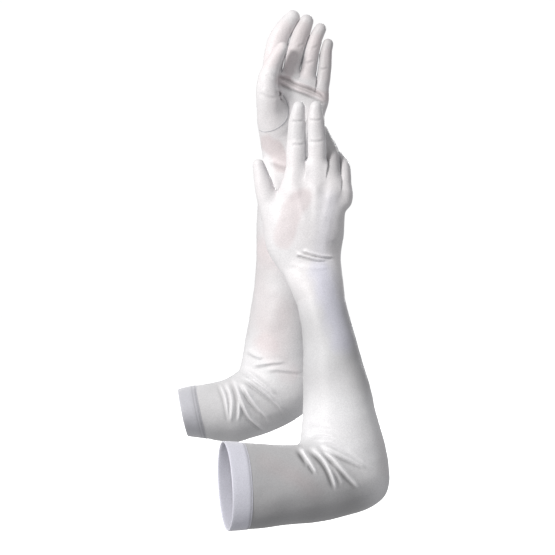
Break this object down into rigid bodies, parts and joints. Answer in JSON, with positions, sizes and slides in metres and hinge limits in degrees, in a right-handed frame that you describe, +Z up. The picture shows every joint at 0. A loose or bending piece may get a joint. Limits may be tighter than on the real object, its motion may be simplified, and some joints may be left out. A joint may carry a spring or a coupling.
{
  "type": "opera gloves",
  "caption": "Pair of long white satin evening gloves with bent elbows: hem band, sleeve, wrist, hand, set-in thumb, fingers and fourchettes.",
  "frame": {"origin": "centre of the right glove's arm opening, in the plane of its hem edge", "axes": "+Z up along the forearms to the fingertips, +X from the arm opening toward the elbow, +Y from the front (right) glove to the one behind it (left)"},
  "size_m": [0.2284, 0.377, 0.5581],
  "materials": {
    "hem_satin": "white stretch satin, turned double and topstitched",
    "sleeve_satin": "white stretch satin, smooth",
    "creased_satin": "white stretch satin, folded where the arm bends",
    "hand_satin": "white stretch satin, drawn tight over the hand",
    "fourchette_satin": "white stretch satin, narrow inset strip"
  },
  "bodies": {
    "right_upper": {"right_hem_band": "hem_satin", "right_upper_sleeve": "sleeve_satin", "right_elbow_sleeve": "creased_satin"},
    "right_forearm": {"right_forearm_sleeve": "sleeve_satin", "right_wrist_sleeve": "creased_satin"},
    "right_hand": {"right_hand_shell": "hand_satin", "right_thumb_gusset": "fourchette_satin", "right_index_root": "creased_satin", "right_middle_root": "creased_satin", "right_ring_root": "creased_satin", "right_little_root": "creased_satin"},
    "right_thumb": {"right_thumb_stall": "hand_satin"},
    "right_index": {"right_index_fourchette": "fourchette_satin", "right_index_stall": "hand_satin"},
    "right_middle": {"right_middle_fourchette_radial": "fourchette_satin", "right_middle_fourchette_ulnar": "fourchette_satin", "right_middle_stall": "hand_satin"},
    "right_ring": {"right_ring_fourchette_radial": "fourchette_satin", "right_ring_fourchette_ulnar": "fourchette_satin", "right_ring_stall": "hand_satin"},
    "right_little": {"right_little_fourchette": "fourchette_satin", "right_little_stall": "hand_satin"},
    "left_upper": {"left_hem_band": "hem_satin", "left_upper_sleeve": "sleeve_satin", "left_elbow_sleeve": "creased_satin"},
    "left_forearm": {"left_forearm_sleeve": "sleeve_satin", "left_wrist_sleeve": "creased_satin"},
    "left_hand": {"left_hand_shell": "hand_satin", "left_thumb_gusset": "fourchette_satin", "left_index_root": "creased_satin", "left_middle_root": "creased_satin", "left_ring_root": "creased_satin", "left_little_root": "creased_satin"},
    "left_thumb": {"left_thumb_stall": "hand_satin"},
    "left_index": {"left_index_fourchette": "fourchette_satin", "left_index_stall": "hand_satin"},
    "left_middle": {"left_middle_fourchette_radial": "fourchette_satin", "left_middle_fourchette_ulnar": "fourchette_satin", "left_middle_stall": "hand_satin"},
    "left_ring": {"left_ring_fourchette_radial": "fourchette_satin", "left_ring_fourchette_ulnar": "fourchette_satin", "left_ring_stall": "hand_satin"},
    "left_little": {"left_little_fourchette": "fourchette_satin", "left_little_stall": "hand_satin"}
  },
  "joints": [
    {"name": "right_elbow", "type": "hinge", "parent": "right_upper", "child": "right_forearm", "pos_m": [0.1192, 0.03241, 0.0046], "axis": [0.2274, -0.892, 0.3906], "range_deg": [-90, 25], "deforming": ["right_elbow_sleeve"]},
    {"name": "right_wrist", "type": "hinge", "parent": "right_forearm", "child": "right_hand", "pos_m": [0.0893, 0.122, 0.2266], "axis": [1, 0, 0], "range_deg": [-50, 35], "deforming": ["right_wrist_sleeve"]},
    {"name": "right_thumb", "type": "hinge", "parent": "right_hand", "child": "right_thumb", "pos_m": [0.0435, 0.128, 0.292], "axis": [0, -1, 0], "range_deg": [0, 35], "deforming": ["right_thumb_gusset"]},
    {"name": "right_index", "type": "hinge", "parent": "right_hand", "child": "right_index", "pos_m": [0.0735, 0.122, 0.339], "axis": [-1, 0, 0], "range_deg": [-20, 70], "deforming": ["right_index_root"]},
    {"name": "right_middle", "type": "hinge", "parent": "right_hand", "child": "right_middle", "pos_m": [0.0952, 0.122, 0.3365], "axis": [-1, 0, 0], "range_deg": [-20, 25], "deforming": ["right_middle_root"]},
    {"name": "right_ring", "type": "hinge", "parent": "right_hand", "child": "right_ring", "pos_m": [0.1126, 0.125, 0.333], "axis": [-0.9682, -0.2501, 0], "range_deg": [-48, 25], "deforming": ["right_ring_root"]},
    {"name": "right_little", "type": "hinge", "parent": "right_hand", "child": "right_little", "pos_m": [0.1257, 0.125, 0.3265], "axis": [-0.9682, -0.2501, 0], "range_deg": [-50, 25], "deforming": ["right_little_root"]},
    {"name": "left_glove_lift", "type": "slide", "parent": "right_upper", "child": "left_upper", "axis": [0, 0, 1], "range_m": [0, 0.3]},
    {"name": "left_elbow", "type": "hinge", "parent": "left_upper", "child": "left_forearm", "pos_m": [0.05528, 0.294, 0.08898], "axis": [0, -1, 0], "range_deg": [-75, 30], "deforming": ["left_elbow_sleeve"]},
    {"name": "left_wrist", "type": "hinge", "parent": "left_forearm", "child": "left_hand", "pos_m": [0.0655, 0.294, 0.3337], "axis": [1, 0, 0], "range_deg": [-55, 50], "deforming": ["left_wrist_sleeve"]},
    {"name": "left_thumb", "type": "hinge", "parent": "left_hand", "child": "left_thumb", "pos_m": [0.0426, 0.268, 0.409], "axis": [0, -1, 0], "range_deg": [-12, 40], "deforming": ["left_thumb_gusset"]},
    {"name": "left_index", "type": "hinge", "parent": "left_hand", "child": "left_index", "pos_m": [0.05, 0.294, 0.451], "axis": [0.9703, 0, -0.2419], "range_deg": [-20, 15], "deforming": ["left_index_root"]},
    {"name": "left_middle", "type": "hinge", "parent": "left_hand", "child": "left_middle", "pos_m": [0.07, 0.294, 0.447], "axis": [0.9703, 0, -0.2419], "range_deg": [-20, 70], "deforming": ["left_middle_root"]},
    {"name": "left_ring", "type": "hinge", "parent": "left_hand", "child": "left_ring", "pos_m": [0.0883, 0.294, 0.4415], "axis": [0.9703, 0, -0.2419], "range_deg": [-20, 70], "deforming": ["left_ring_root"]},
    {"name": "left_little", "type": "hinge", "parent": "left_hand", "child": "left_little", "pos_m": [0.1049, 0.294, 0.435], "axis": [0.9703, 0, -0.2419], "range_deg": [-20, 70], "deforming": ["left_little_root"]}
  ]
}
